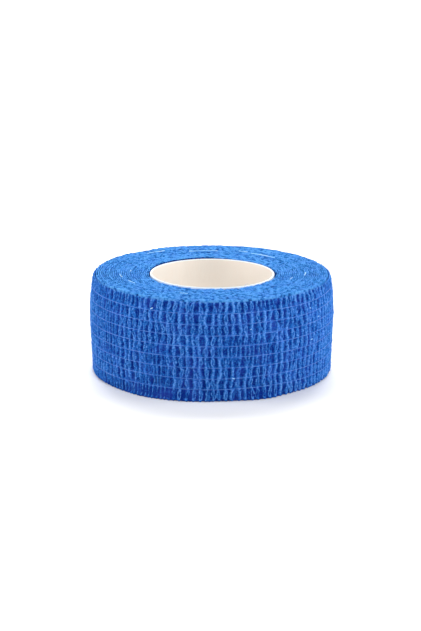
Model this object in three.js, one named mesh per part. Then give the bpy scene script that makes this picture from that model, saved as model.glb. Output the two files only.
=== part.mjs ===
// A cohesive bandage roll: a creped, elastic cloth strip wound about thirty turns on a paper core.
// It lies on one side face. Millimetres, +Z up the roll's axis, origin at the middle of that face.
import * as THREE from "three";

// Driving dimensions
const STRIP_WIDTH = 25; // the cloth's cut width, and so the roll's height
const CORE_BORE = 30; // inside diameter of the paper tube
const CORE_WALL = 1;
const CORE_EDGE = 0.2; // how far the tube's cut edges are rounded
const CORE_SIDES = 96;
const SEAT_GAP = 0.3; // between the tube and the first turn
const TURN_THICKNESS = 0.49; // what one turn of cloth adds to the radius

// The crepe: elastic threads run round the roll and gather the cloth between them into ridges
const THREADS = 8; // they part the strip into one band more than this
const RIDGES = 113; // across the strip, all the way round the roll
const POCKET_DEPTH = 0.75; // from a ridge's crest to the pocket beside it, midway between threads
const THREAD_DEPTH = 0.22; // the same along a thread, which bridges the pockets
const THREAD_PINCH = 0.18; // how far a thread draws the crests in
const DEPTH_SPREAD = 0.25; // pockets differ in depth by this share
const RIDGE_STRAY = 0.35; // a ridge strays sideways by up to this share of the way to its pocket

// The strip's cut end, stuck down on the turn beneath
const END_AZIMUTH = 118; // degrees from +X
const END_LEAN = 0.25; // the cut edge's thickness, seen square on

// The roll's side, at the crests: a slight barrel with soft shoulders
const SIDE = [
  { rise: 0, radius: 29.8 },
  { rise: 1.4, radius: 30.4 },
  { rise: 6, radius: 30.6 },
  { rise: 14, radius: 30.85 },
  { rise: 20, radius: 30.7 },
  { rise: 23.6, radius: 30.3 },
  { rise: 24.6, radius: 29.9 },
  { rise: 25, radius: 29.3 },
];

// The upper face, from the rim to the core: some turns stand a little proud of the others
const UPPER_FACE = [
  { radius: 27.9, rise: 24.8 },
  { radius: 24.6, rise: 24.95 },
  { radius: 20.2, rise: 24.7 },
  { radius: 17.4, rise: 24.85 },
];

const BANDS = THREADS + 1;
const BAND_HEIGHT = STRIP_WIDTH / BANDS;
const FIRST_TURN_RADIUS = CORE_BORE / 2 + CORE_WALL + SEAT_GAP;
const FIRST_TURN_RISE = 24.6; // where the first turn's edge meets the core

// A fixed scatter from -1 to 1, the same each time for the same pair of numbers
function scatter(a, b) {
  const wave = Math.sin(a * 127.1 + b * 311.7) * 43758.5453;
  return 2 * (wave - Math.floor(wave)) - 1;
}

// The side's radius at a height, read off the SIDE table
function crestRadius(rise) {
  const above = SIDE.findIndex((row) => row.rise >= rise);
  if (above === 0) return SIDE[0].radius;
  const from = SIDE[above - 1];
  const to = SIDE[above];
  const share = (rise - from.rise) / (to.rise - from.rise);
  return THREE.MathUtils.lerp(from.radius, to.radius, share);
}

// One row of the wound form's outline. depth is from crest to pocket, stray how far ridges lean
// sideways, and step is 1 where the cut end shows.
function outlineRow(radius, rise, depth = 0, stray = 0, step = 0) {
  return { radius, rise, depth, stray, step };
}

// The rows of the side, from the foot up: a row along each thread and one midway between threads
function sideRows() {
  const rows = [outlineRow(crestRadius(0), 0, THREAD_DEPTH, 0, 1)];
  for (let half = 1; half < 2 * BANDS; half += 1) {
    const rise = (half * BAND_HEIGHT) / 2;
    const onThread = half % 2 === 0;
    const radius = crestRadius(rise) - (onThread ? THREAD_PINCH : 0);
    rows.push(outlineRow(radius, rise, onThread ? THREAD_DEPTH : POCKET_DEPTH, onThread ? 0 : 1, 1));
  }
  const shoulder = SIDE[SIDE.length - 2];
  const rim = SIDE[SIDE.length - 1];
  rows.push(outlineRow(shoulder.radius, shoulder.rise, POCKET_DEPTH, 1, 1));
  rows.push(outlineRow(rim.radius, rim.rise, THREAD_DEPTH, 0, 1));
  return rows;
}

// The closed outline of the wound cloth, from the foot of the first turn round and back to it
function woundOutline() {
  return [
    outlineRow(FIRST_TURN_RADIUS, 0),
    ...sideRows(),
    ...UPPER_FACE.map((ring) => outlineRow(ring.radius, ring.rise)),
    outlineRow(FIRST_TURN_RADIUS, FIRST_TURN_RISE),
  ];
}

// A closed outline turned about the axis, with +Z up
function turned(outline, sides) {
  const points = [...outline, outline[0]].map((row) => new THREE.Vector2(row.radius, row.rise));
  return new THREE.LatheGeometry(points, sides);
}

// How far a column leans sideways on a row, from -1 to 1: a pocket goes with the ridges beside it
function sideways(column, line) {
  const isRidge = column % 2 === 1;
  return isRidge ? scatter(column, line) : (scatter(column - 1, line) + scatter(column + 1, line)) / 2;
}

// Splits every square of the grid through its pocket end, so that a pocket's sides match
function foldThroughPockets(geometry, perColumn) {
  const indices = [];
  const columns = geometry.getAttribute("position").count / perColumn - 1;
  for (let column = 0; column < columns; column += 1) {
    for (let line = 0; line < perColumn - 1; line += 1) {
      const a = column * perColumn + line;
      const b = a + perColumn;
      const [c, d] = [b + 1, a + 1];
      const pocketFirst = (column + line) % 2 === 0;
      indices.push(...(pocketFirst ? [a, b, c, a, c, d] : [a, b, d, c, d, b]));
    }
  }
  geometry.setIndex(indices);
}

function material(color, roughness) {
  return new THREE.MeshStandardMaterial({ color, roughness, metalness: 0 });
}

// The wound cloth as one solid. Columns of points alternate pocket and crest all the way round, and
// the radius grows by one turn from the first column to the last, where the cut end steps down.
function bandageRoll() {
  const outline = woundOutline();
  const columns = 2 * RIDGES + 1;
  const geometry = turned(outline, columns);
  const position = geometry.getAttribute("position");
  const endAngle = END_LEAN / crestRadius(STRIP_WIDTH / 2);
  const spacing = (2 * Math.PI - endAngle) / (columns - 1);
  const perColumn = outline.length + 1;

  for (let index = 0; index < position.count; index += 1) {
    const column = Math.floor(index / perColumn) % columns;
    const line = (index % perColumn) % outline.length;
    const row = outline[line];
    const atEnd = column === 0 || column === columns - 1;
    const pocket = column % 2 === 0;
    const depth = pocket ? row.depth * (1 + DEPTH_SPREAD * scatter(column, line)) : 0;
    const stray = atEnd ? 0 : row.stray * RIDGE_STRAY * sideways(column, line);
    const grown = row.step * TURN_THICKNESS * (column / (columns - 1) - 0.5);
    const radius = row.radius - depth + grown;
    const angle = (column + stray) * spacing;
    position.setXYZ(index, radius * Math.sin(angle), row.rise, radius * Math.cos(angle));
  }

  foldThroughPockets(geometry, perColumn);
  geometry.rotateX(Math.PI / 2);
  const roll = new THREE.Mesh(geometry, material(0x2f7bd6, 0.95));
  roll.name = "bandage_roll";
  roll.rotation.z = THREE.MathUtils.degToRad(END_AZIMUTH + 90);
  return roll;
}

// The paper tube the strip is wound on, with its cut edges rounded
function coreTube() {
  const inner = CORE_BORE / 2;
  const outer = inner + CORE_WALL;
  const outline = [
    outlineRow(inner, CORE_EDGE),
    outlineRow(inner + CORE_EDGE, 0),
    outlineRow(outer - CORE_EDGE, 0),
    outlineRow(outer, CORE_EDGE),
    outlineRow(outer, STRIP_WIDTH - CORE_EDGE),
    outlineRow(outer - CORE_EDGE, STRIP_WIDTH),
    outlineRow(inner + CORE_EDGE, STRIP_WIDTH),
    outlineRow(inner, STRIP_WIDTH - CORE_EDGE),
  ];
  const geometry = turned(outline, CORE_SIDES);
  geometry.rotateX(Math.PI / 2);
  const tube = new THREE.Mesh(geometry, material(0xf4eadc, 0.7));
  tube.name = "core_tube";
  return tube;
}

const part = new THREE.Group();
part.add(coreTube(), bandageRoll());

export default part;
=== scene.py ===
"""Dresses a cohesive bandage roll for rendering: a creped elastic strip wound on a paper core.

Everything is in metres, +Z up the roll's axis, with the face that the roll lies on at height zero.
"""

import logging
import math
from dataclasses import dataclass
from enum import Enum

import bpy
import numpy as np
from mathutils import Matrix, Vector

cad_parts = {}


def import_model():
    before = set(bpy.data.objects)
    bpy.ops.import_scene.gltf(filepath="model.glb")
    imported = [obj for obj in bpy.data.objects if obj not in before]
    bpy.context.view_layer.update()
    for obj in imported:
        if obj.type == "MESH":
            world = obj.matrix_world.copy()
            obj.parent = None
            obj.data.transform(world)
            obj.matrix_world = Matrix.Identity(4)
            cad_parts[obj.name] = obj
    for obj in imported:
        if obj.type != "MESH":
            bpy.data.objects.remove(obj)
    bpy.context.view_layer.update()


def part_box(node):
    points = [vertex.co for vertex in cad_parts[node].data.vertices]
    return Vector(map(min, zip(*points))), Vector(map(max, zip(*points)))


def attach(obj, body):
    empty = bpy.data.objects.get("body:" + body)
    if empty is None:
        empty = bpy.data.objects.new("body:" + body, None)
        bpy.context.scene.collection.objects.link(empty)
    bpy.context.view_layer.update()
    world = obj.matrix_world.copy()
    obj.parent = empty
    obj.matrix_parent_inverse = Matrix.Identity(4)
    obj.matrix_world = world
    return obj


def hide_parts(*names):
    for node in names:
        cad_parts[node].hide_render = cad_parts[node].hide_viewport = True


LOG = logging.getLogger("bandage_roll")
MM = 0.001
# On the cloth the crest attribute holds the relief's crest share with painted shade in the pockets,
# at the foot, on hidden sides, beside the core and down between turns, and painted light on raised
# crinkles; on the core tube it marks the paler cut rims.
CREST_AND_SHADE = "crest"  # the attribute that sets how light a point is, 0 to 1: crest share and painted shade
FUZZ = "fuzz"  # the attribute that says how thickly fibres stand there, 0 to 1
RUN = "run"  # the attribute that says how far along the strip it is, in metres
CLOTH_MAP = "cloth_map"  # the UV map that runs along and across the strip, in metres

Colour = tuple[float, float, float]
Span = tuple[float, float]


class Held(Enum):
    """How a sheet of cloth is held, in the frame's own words."""

    WOUND = "stretched"


def linear(red: int, green: int, blue: int) -> Colour:
    """Turns a display colour into the linear one that a shader takes.

    Args:
        red: The red channel, 0 to 255, as are the others.
        green: The green channel.
        blue: The blue channel.

    Returns:
        The linear colour, 0 to 1 a channel.
    """
    knee, foot, lift, power = 0.04045, 12.92, 0.055, 2.4
    shares = (channel / 255 for channel in (red, green, blue))
    return tuple(s / foot if s <= knee else ((s + lift) / (1 + lift)) ** power for s in shares)


def eased(share: np.ndarray) -> np.ndarray:
    """Smooths a share from 0 to 1, level at both ends."""
    share = np.clip(share, 0, 1)
    return share * share * (3 - 2 * share)


def polar(radius: np.ndarray, angle: np.ndarray, rise: np.ndarray) -> np.ndarray:
    """Turns distances from the axis, azimuths and heights into points."""
    parts = np.broadcast_arrays(radius * np.cos(angle), radius * np.sin(angle), rise)
    return np.stack(parts, axis=-1)


class Lattice:
    """Smooth random variation, from -1 to 1, over a rectangle of the cloth."""

    def __init__(self, rng: np.random.Generator, columns: int, rows: int) -> None:
        """Draws the values at the lattice's points.

        Args:
            rng: The source of random numbers.
            columns: How many cells it has along the cloth.
            rows: How many cells it has across it.
        """
        self.columns = columns
        self.rows = rows
        self.values = rng.uniform(-1, 1, (rows + 2, columns + 2))

    def at(self, along: np.ndarray, across: "np.ndarray | float") -> np.ndarray:
        """Reads the variation.

        Args:
            along: Shares of the way along, 0 to 1.
            across: Shares of the way across, of the same shape, or one for all.

        Returns:
            The variation at each point.
        """
        x = np.clip(along, 0, 1) * self.columns
        y = np.clip(across, 0, 1) * self.rows
        i, j = x.astype(int), y.astype(int)
        fx, fy = eased(x - i), eased(y - j)
        low = self.values[j, i] * (1 - fx) + self.values[j, i + 1] * fx
        high = self.values[j + 1, i] * (1 - fx) + self.values[j + 1, i + 1] * fx
        return low * (1 - fy) + high * fy


# ---------------------------------------------------------------- node trees


class Value:
    """A node's output that adds Math nodes when it is used in an expression."""

    def __init__(self, graph: "Graph", socket: bpy.types.NodeSocket) -> None:
        """Wraps an output socket of a node in the graph."""
        self.graph = graph
        self.socket = socket

    def _math(self, operation: str, *operands: "Value | float") -> "Value":
        """Adds a Math node and gives its result."""
        inputs = dict(enumerate(operands))
        return self.graph.node("ShaderNodeMath", {"operation": operation}, inputs)

    def __add__(self, other: "Value | float") -> "Value":
        """Adds."""
        return self._math("ADD", self, other)

    def __sub__(self, other: "Value | float") -> "Value":
        """Subtracts."""
        return self._math("SUBTRACT", self, other)

    def __rsub__(self, other: float) -> "Value":
        """Subtracts from a number."""
        return self._math("SUBTRACT", other, self)

    def __mul__(self, other: "Value | float") -> "Value":
        """Multiplies."""
        return self._math("MULTIPLY", self, other)

    def __truediv__(self, other: "Value | float") -> "Value":
        """Divides."""
        return self._math("DIVIDE", self, other)

    def __pow__(self, power: float) -> "Value":
        """Raises to a power."""
        return self._math("POWER", self, power)

    __radd__ = __add__
    __rmul__ = __mul__

    def size(self) -> "Value":
        """Gives the value without its sign."""
        return self._math("ABSOLUTE", self)

    def sign(self) -> "Value":
        """Gives -1, 0 or 1."""
        return self._math("SIGN", self)

    def at_least(self, lowest: float) -> "Value":
        """Raises the value to the lowest one allowed."""
        return self._math("MAXIMUM", self, lowest)

    def held(self) -> "Value":
        """Keeps the value between 0 and 1."""
        return self.graph.node("ShaderNodeClamp", {}, {"Value": self})

    def eased(self, start: float, end: float) -> "Value":
        """Rises smoothly from 0 at start to 1 at end, or falls where end is the lower.

        Args:
            start: Where it is 0.
            end: Where it is 1.

        Returns:
            The eased value.
        """
        settings = {"interpolation_type": "SMOOTHSTEP"}
        inputs = {"Value": self, "From Min": start, "From Max": end}
        return self.graph.node("ShaderNodeMapRange", settings, inputs)


class Graph:
    """A node tree in the making, for a material or for Geometry Nodes."""

    def __init__(self, tree: bpy.types.NodeTree) -> None:
        """Starts on a node tree."""
        self.tree = tree

    def node(
        self,
        kind: str,
        settings: dict[str, object] | None = None,
        inputs: dict[str | int, object] | None = None,
        output: str | int = 0,
    ) -> Value:
        """Adds one node.

        Args:
            kind: The node's type.
            settings: Its options, set before its sockets.
            inputs: What each socket gets, by name or place: a Value or a plain one.
            output: Which of its outputs is wanted.

        Returns:
            The wanted output.
        """
        made = self.tree.nodes.new(kind)
        for name, setting in (settings or {}).items():
            setattr(made, name, setting)
        for name, value in (inputs or {}).items():
            self.feed(made.inputs[name], value)
        return Value(self, made.outputs[output])

    def feed(self, socket: bpy.types.NodeSocket, value: object) -> None:
        """Gives an input socket a link or a plain value.

        Args:
            socket: The input socket.
            value: What it gets.
        """
        if isinstance(value, Value):
            self.tree.links.new(value.socket, socket)
        elif socket.type == "RGBA" and len(value) == 3:
            socket.default_value = (*value, 1)
        else:
            socket.default_value = value

    def mixed(self, factor: Value, low: "Value | Colour", high: "Value | Colour") -> Value:
        """Mixes two colours: low where the factor is 0, high where it is 1."""
        inputs = {0: factor, 6: low, 7: high}
        return self.node("ShaderNodeMix", {"data_type": "RGBA"}, inputs, 2)

    def noise(
        self, place: Value, cell: float, detail: float = 2, stretch: Colour = (1, 1, 1)
    ) -> Value:
        """Adds smooth noise about 0.5.

        Args:
            place: The coordinates, in metres.
            cell: The size of its grain, in metres.
            detail: How many finer layers it has.
            stretch: How many times longer the grain is along each axis.

        Returns:
            The noise, 0 to 1.
        """
        scale = tuple(1 / (cell * axis) for axis in stretch)
        scaled = self.node("ShaderNodeVectorMath", {"operation": "MULTIPLY"}, {0: place, 1: scale})
        return self.node("ShaderNodeTexNoise", {}, {"Vector": scaled, "Scale": 1, "Detail": detail})


class Shader(Graph):
    """A material in the making, around one Principled shader."""

    def __init__(self, name: str, **fixed: object) -> None:
        """Starts a material.

        Args:
            name: The material's name.
            fixed: Shader inputs that are the same all over, with _ for each space.
        """
        self.material = bpy.data.materials.new(name)
        self.material.use_nodes = True
        super().__init__(self.material.node_tree)
        self.tree.nodes.clear()
        self.shader = self.tree.nodes.new("ShaderNodeBsdfPrincipled")
        surface = self.tree.nodes.new("ShaderNodeOutputMaterial")
        self.tree.links.new(self.shader.outputs[0], surface.inputs["Surface"])
        for key, value in fixed.items():
            self.feed(self.shader.inputs[key.replace("_", " ")], value)

    def attribute(self, name: str) -> Value:
        """Reads a number that the mesh carries."""
        return self.node("ShaderNodeAttribute", {"attribute_name": name}, {}, "Fac")

    def own_place(self) -> Value:
        """Gives the place on the piece, in metres."""
        return self.node("ShaderNodeTexCoord", {}, {}, "Object")

    def cloth_place(self) -> Value:
        """Gives the place along and across the strip, in metres."""
        return self.node("ShaderNodeUVMap", {"uv_map": CLOTH_MAP})

    def finish(
        self, colour: Value, roughness: Value, height: Value, depth: float
    ) -> bpy.types.Material:
        """Joins what varies over the surface to the shader.

        Args:
            colour: The base colour.
            roughness: The roughness.
            height: The fine relief, 0 to 1.
            depth: How deep that relief is, in metres.

        Returns:
            The material.
        """
        bump = self.node("ShaderNodeBump", {}, {"Height": height, "Distance": depth})
        for name, value in (("Base Color", colour), ("Roughness", roughness), ("Normal", bump)):
            self.feed(self.shader.inputs[name], value)
        return self.material


class Maker(Graph):
    """A Geometry Nodes tree in the making, with named inputs, that ends as a plain mesh."""

    KINDS = {
        float: "NodeSocketFloat",
        int: "NodeSocketInt",
        bpy.types.Object: "NodeSocketObject",
        bpy.types.Material: "NodeSocketMaterial",
    }

    def __init__(self, name: str) -> None:
        """Starts a tree.

        Args:
            name: The tree's name, and that of the piece it makes.
        """
        super().__init__(bpy.data.node_groups.new(name, "GeometryNodeTree"))
        self.name = name
        for end, way in (("Base", "INPUT"), ("Piece", "OUTPUT")):
            self.tree.interface.new_socket(end, in_out=way, socket_type="NodeSocketGeometry")
        self.entry = self.tree.nodes.new("NodeGroupInput")
        self.given: dict[str, object] = {}

    def base(self) -> Value:
        """Gives the geometry that the tree starts from."""
        return Value(self, self.entry.outputs["Base"])

    def take(self, name: str, value: object) -> Value:
        """Adds a named input.

        Args:
            name: The input's name.
            value: What it is set to on the piece.

        Returns:
            The input, as the tree sees it.
        """
        kind = next(socket for held, socket in self.KINDS.items() if isinstance(value, held))
        item = self.tree.interface.new_socket(name, in_out="INPUT", socket_type=kind)
        self.given[item.identifier] = value
        return Value(self, self.entry.outputs[name])

    def place(self) -> Value:
        """Gives each point's position."""
        return self.node("GeometryNodeInputPosition")

    def parts(self, vector: Value) -> list[Value]:
        """Splits a vector into its three numbers."""
        x = self.node("ShaderNodeSeparateXYZ", {}, {0: vector})
        return [x, *(Value(self, x.socket.node.outputs[axis]) for axis in (1, 2))]

    def vector(self, *parts: "Value | float") -> Value:
        """Joins three numbers into a vector."""
        return self.node("ShaderNodeCombineXYZ", {}, dict(enumerate(parts)))

    def carried(self, name: str) -> Value:
        """Reads a number that each point carries."""
        return self.node("GeometryNodeInputNamedAttribute", {}, {"Name": name})

    def carrying(self, geometry: Value, name: str, value: Value) -> Value:
        """Stores a number on each point of the geometry."""
        inputs = {"Geometry": geometry, "Name": name, "Value": value}
        return self.node("GeometryNodeStoreNamedAttribute", {}, inputs)

    def moved(self, geometry: Value, **where: Value) -> Value:
        """Moves the geometry's points to a Position or by an Offset."""
        return self.node("GeometryNodeSetPosition", {}, {"Geometry": geometry, **where})

    def ring(self, sides: int, radius: "Value | float") -> Value:
        """Draws a circle."""
        inputs = {"Resolution": sides, "Radius": radius}
        return self.node("GeometryNodeCurvePrimitiveCircle", {}, inputs)

    def swept(self, path: Value, section: Value) -> Value:
        """Sweeps a section along a path, and closes its ends."""
        inputs = {"Curve": path, "Profile Curve": section, "Fill Caps": True}
        return self.node("GeometryNodeCurveToMesh", {}, inputs)

    def piece(
        self, geometry: Value, material: bpy.types.Material, base: bpy.types.Mesh | None = None
    ) -> bpy.types.Object:
        """Ends the tree, runs it and keeps its result as a plain mesh.

        Args:
            geometry: The geometry to end with.
            material: The finish of all of it.
            base: The mesh that the tree starts from, if it starts from one.

        Returns:
            The piece, with no modifier on it.
        """
        finish = self.take("Finish", material)
        real = self.node("GeometryNodeRealizeInstances", {}, {0: geometry})
        dressed = self.node("GeometryNodeSetMaterial", {}, {"Geometry": real, "Material": finish})
        leaving = self.tree.nodes.new("NodeGroupOutput")
        self.tree.links.new(dressed.socket, leaving.inputs["Piece"])

        made = bpy.data.objects.new(self.name, base or bpy.data.meshes.new(self.name))
        bpy.context.scene.collection.objects.link(made)
        modifier = made.modifiers.new(self.name, "NODES")
        modifier.node_group = self.tree
        for identifier, value in self.given.items():
            modifier[identifier] = value
        depsgraph = bpy.context.evaluated_depsgraph_get()
        mesh = bpy.data.meshes.new_from_object(made.evaluated_get(depsgraph), depsgraph=depsgraph)
        made.modifiers.remove(modifier)
        made.data = mesh
        mesh.name = self.name
        return made


# ---------------------------------------------------------------- meshes


def signed_volume(mesh: bpy.types.Mesh) -> float:
    """Gives a closed mesh's volume, which is negative where its faces point inwards.

    Args:
        mesh: The mesh, closed.

    Returns:
        The volume, in cubic metres.
    """
    mesh.calc_loop_triangles()
    points = np.empty(len(mesh.vertices) * 3)
    mesh.vertices.foreach_get("co", points)
    corners = np.empty(len(mesh.loop_triangles) * 3, dtype=np.int32)
    mesh.loop_triangles.foreach_get("vertices", corners)
    a, b, c = points.reshape(-1, 3)[corners.reshape(-1, 3)].transpose(1, 0, 2)
    return float(np.einsum("ij,ij->i", a, np.cross(b, c)).sum() / 6)


def finished(mesh: bpy.types.Mesh) -> None:
    """Turns a closed mesh's faces outwards and smooths its shading.

    Args:
        mesh: The mesh.
    """
    if signed_volume(mesh) < 0:
        mesh.flip_normals()
    mesh.shade_smooth()


def grid_mesh(
    name: str, points: np.ndarray, along: np.ndarray, across: np.ndarray, round_closed: bool
) -> bpy.types.Mesh:
    """Makes a mesh of columns of points, each column a closed section.

    Args:
        name: The mesh's name.
        points: The points, shaped (columns, rows, 3).
        along: How far along the strip each column is, and one more past the last.
        across: How far round the section each row is, and one more past the last.
        round_closed: Whether the last column joins the first. If not, both ends are capped.

    Returns:
        The mesh, with faces pointing out and a UV map in metres.
    """
    columns, rows = points.shape[:2]
    steps = columns if round_closed else columns - 1
    column, row = np.divmod(np.arange(steps * rows), rows)
    beside, above = (column + 1) % columns * rows, (row + 1) % rows
    here = column * rows
    faces = np.stack([here + row, beside + row, beside + above, here + above], axis=-1).tolist()
    if not round_closed:
        last = (columns - 1) * rows
        faces.append(list(range(rows))[::-1])
        faces.append([last + row for row in range(rows)])
    mesh = bpy.data.meshes.new(name)
    mesh.from_pydata(points.reshape(-1, 3).tolist(), [], faces)

    u = along[np.stack([column, column + 1, column + 1, column], axis=1)]
    v = across[np.stack([row, row, row + 1, row + 1], axis=1)]
    places = np.stack([u, v], axis=-1).reshape(-1, 2)
    places = np.concatenate([places, np.zeros((len(mesh.loops) - len(places), 2))])
    mesh.uv_layers.new(name=CLOTH_MAP).data.foreach_set("uv", places.ravel())
    finished(mesh)
    return mesh


def carry(mesh: bpy.types.Mesh, name: str, values: np.ndarray) -> None:
    """Stores a number on each point of a mesh."""
    attribute = mesh.attributes.new(name, "FLOAT", "POINT")
    attribute.data.foreach_set("value", np.ascontiguousarray(values, dtype=np.float32).ravel())


def shown(mesh: bpy.types.Mesh, material: bpy.types.Material) -> bpy.types.Object:
    """Puts a mesh in the scene with its finish.

    Args:
        mesh: The mesh.
        material: The finish.

    Returns:
        The object.
    """
    mesh.materials.append(material)
    made = bpy.data.objects.new(mesh.name, mesh)
    bpy.context.scene.collection.objects.link(made)
    return made


class Outline:
    """A smooth line through a few points of a section, measured by its own length."""

    FINE = 400  # how many short steps it is drawn in

    def __init__(self, points: tuple[Span, ...]) -> None:
        """Draws the line.

        Args:
            points: Its (radius, rise) points, in metres.
        """
        held = np.array([points[0], *points, points[-1]], dtype=float)
        place = np.linspace(0, len(points) - 1, self.FINE, endpoint=False)
        i = place.astype(int)
        t = (place - i)[:, None]
        a, b, c, d = (held[i + step] for step in range(4))
        line = b + t * ((c - a) + t * ((2 * a - 5 * b + 4 * c - d) + t * (3 * (b - c) + d - a))) / 2
        self.line = np.vstack([line, held[-1]])
        steps = np.linalg.norm(np.diff(self.line, axis=0), axis=1)
        self.reach = np.concatenate([[0], np.cumsum(steps)])
        self.length = float(self.reach[-1])

    def at(self, distance: np.ndarray) -> tuple[np.ndarray, np.ndarray]:
        """Reads points of the line.

        Args:
            distance: How far along it they are, in metres.

        Returns:
            The (radius, rise) points, and the unit normals away from the axis.
        """
        slope = np.gradient(self.line, self.reach, axis=0)
        point, tangent = (
            np.stack([np.interp(distance, self.reach, of[:, k]) for k in (0, 1)], axis=-1)
            for of in (self.line, slope)
        )
        tangent /= np.linalg.norm(tangent, axis=-1, keepdims=True)
        return point, np.stack([tangent[..., 1], -tangent[..., 0]], axis=-1)


# ---------------------------------------------------------------- finishes


@dataclass(frozen=True)
class ClothFinish:
    """The blue nonwoven web: deep colour in its folds, partly its own and partly painted shade, and
    paler on its crests, partly painted light.
    """

    name: str = "blue_creped_face"
    on_strip: bool = True  # whether its grain follows the strip's own map, or lies in space
    # The pocket colour is partly the web's own deep colour and partly painted shade; the crest
    # colour is partly painted light.
    pocket: Colour = linear(0, 32, 124)
    web: Colour = linear(16, 95, 184)
    crest: Colour = linear(90, 145, 222)
    violet: Colour = linear(70, 90, 204)
    fibre: Colour = linear(112, 170, 240)
    bloom: Colour = linear(96, 170, 196)  # the sheen's colour
    sheen: float = 0.26
    roughness: float = 0.95
    rise: float = 0.75  # the tone from a pocket to a crest
    base: float = 0.03  # and in a pocket
    web_tones: Span = (0.1, 0.62)  # from the pocket's colour to the web's
    crest_tones: Span = (0.5, 0.95)  # and from the web's to the crest's
    patch: float = 3.5 * MM  # the size of the violet patches
    patch_span: Span = (0.42, 0.72)
    patch_share: float = 0.16
    fibre_width: float = 0.16 * MM
    fibre_length: float = 5.0  # in widths
    fibre_line: float = 0.06  # how broad the noise's middle is drawn as a fibre
    crest_fibres: float = 0.25  # how much of a fibre's colour shows on a crest
    pocket_fibres: float = 0.02
    grain_share: float = 0.1
    wrinkle: float = 0.42 * MM
    wrinkle_span: Span = (0.36, 0.64)
    wrinkle_shading: float = 0.22  # painted light and shade of fine wrinkles: how much they change the tone
    crease: float = 1.0 * MM
    crease_line: float = 0.07
    crease_highlight: float = 0.20  # how much the fine creases lift the tone: a painted highlight along them
    relief: float = 0.10 * MM

    def material(self) -> bpy.types.Material:
        """Makes the finish.

        Returns:
            The material.
        """
        shader = Shader(
            self.name, Sheen_Weight=self.sheen, Sheen_Roughness=0.5, Specular_IOR_Level=0.03
        )
        shader.feed(shader.shader.inputs["Sheen Tint"], self.bloom)
        place = shader.cloth_place() if self.on_strip else shader.own_place()
        width, long = self.fibre_width, self.fibre_length
        up = shader.noise(place, width, 1, (1, long, 1))
        along = shader.noise(place, width * 0.8, 1, (long, 1.6, 1))
        fibres = self._lines(up, self.fibre_line) + self._lines(along, self.fibre_line)
        grain = shader.noise(place, width * 1.5)
        wrinkle = shader.noise(place, self.wrinkle, 1).eased(*self.wrinkle_span)
        patch = shader.noise(shader.own_place(), self.patch, 1).eased(*self.patch_span)
        crease = self._lines(shader.noise(place, self.crease, 1), self.crease_line)

        crest = shader.attribute(CREST_AND_SHADE)
        # Pockets painted darker and crests paler by the crest attribute: partly the web's own
        # colour, partly painted shade and light.
        tone = crest * self.rise + (wrinkle - 0.4) * self.wrinkle_shading
        tone = tone + (grain - 0.5) * self.grain_share + self.base + crease * self.crease_highlight
        body = shader.mixed(tone.eased(*self.web_tones), self.pocket, self.web)
        body = shader.mixed(tone.eased(*self.crest_tones), body, self.crest)
        body = shader.mixed(patch * self.patch_share, body, self.violet)
        share = fibres * (crest * self.crest_fibres + self.pocket_fibres)
        colour = shader.mixed(share, body, self.fibre)
        height = fibres * 0.15 + grain * 0.6 + crease * 0.6
        return shader.finish(colour, self.roughness - fibres * 0.12, height, self.relief)

    def _lines(self, noise: Value, breadth: float) -> Value:
        """Draws thin wandering lines where noise crosses its middle: 1 on a line and 0 off it."""
        return (noise - 0.5).size().eased(breadth, 0.0)


@dataclass(frozen=True)
class ThreadFinish:
    """The elastic thread: pale, faintly violet, with a dull shine."""

    name: str = "pale_elastic_thread"
    body: Colour = linear(58, 112, 206)
    worn: Colour = linear(94, 142, 224)
    roughness: float = 0.5
    wear: float = 3.0 * MM
    relief: float = 0.02 * MM

    def material(self) -> bpy.types.Material:
        """Makes the finish.

        Returns:
            The material.
        """
        shader = Shader(self.name, Sheen_Weight=0.15, Specular_IOR_Level=0.3)
        place = shader.own_place()
        worn = shader.noise(place, self.wear).eased(0.4, 0.7)
        grain = shader.noise(place, self.relief * 5)
        colour = shader.mixed(worn, self.body, self.worn)
        return shader.finish(colour, self.roughness + grain * 0.3, grain, self.relief)


CUT_EDGE = ClothFinish(
    name="blue_cut_edge",
    on_strip=False,
    pocket=linear(0, 32, 98),
    web=linear(42, 122, 202),
    crest=linear(90, 163, 230),
    bloom=linear(42, 122, 202),
    sheen=0.10,
    rise=0.9,
    base=0.0,
    wrinkle=1.1 * MM,
    wrinkle_shading=0.4,
    crease=1.4 * MM,
)
# The pale finish of the stray threads and of the white flecks on the side.
PALE_STRAYS = ThreadFinish("white_lint", linear(146, 210, 250), linear(196, 236, 255), 0.7)


@dataclass(frozen=True)
class FibreFinish:
    """Loose fibres of the web, paler than the cloth because light passes through them."""

    name: str = "loose_blue_fibre"
    body: Colour = linear(30, 110, 208)
    tip: Colour = linear(84, 156, 238)
    grain: float = 0.8 * MM
    roughness: float = 0.6

    def material(self) -> bpy.types.Material:
        """Makes the finish.

        Returns:
            The material.
        """
        shader = Shader(self.name, Sheen_Weight=0.0, Specular_IOR_Level=0.05)
        noise = shader.noise(shader.own_place(), self.grain, 1)
        colour = shader.mixed(noise.eased(0.4, 0.6), self.body, self.tip)
        return shader.finish(colour, self.roughness + noise * 0.3, noise, self.grain / 40)


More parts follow.
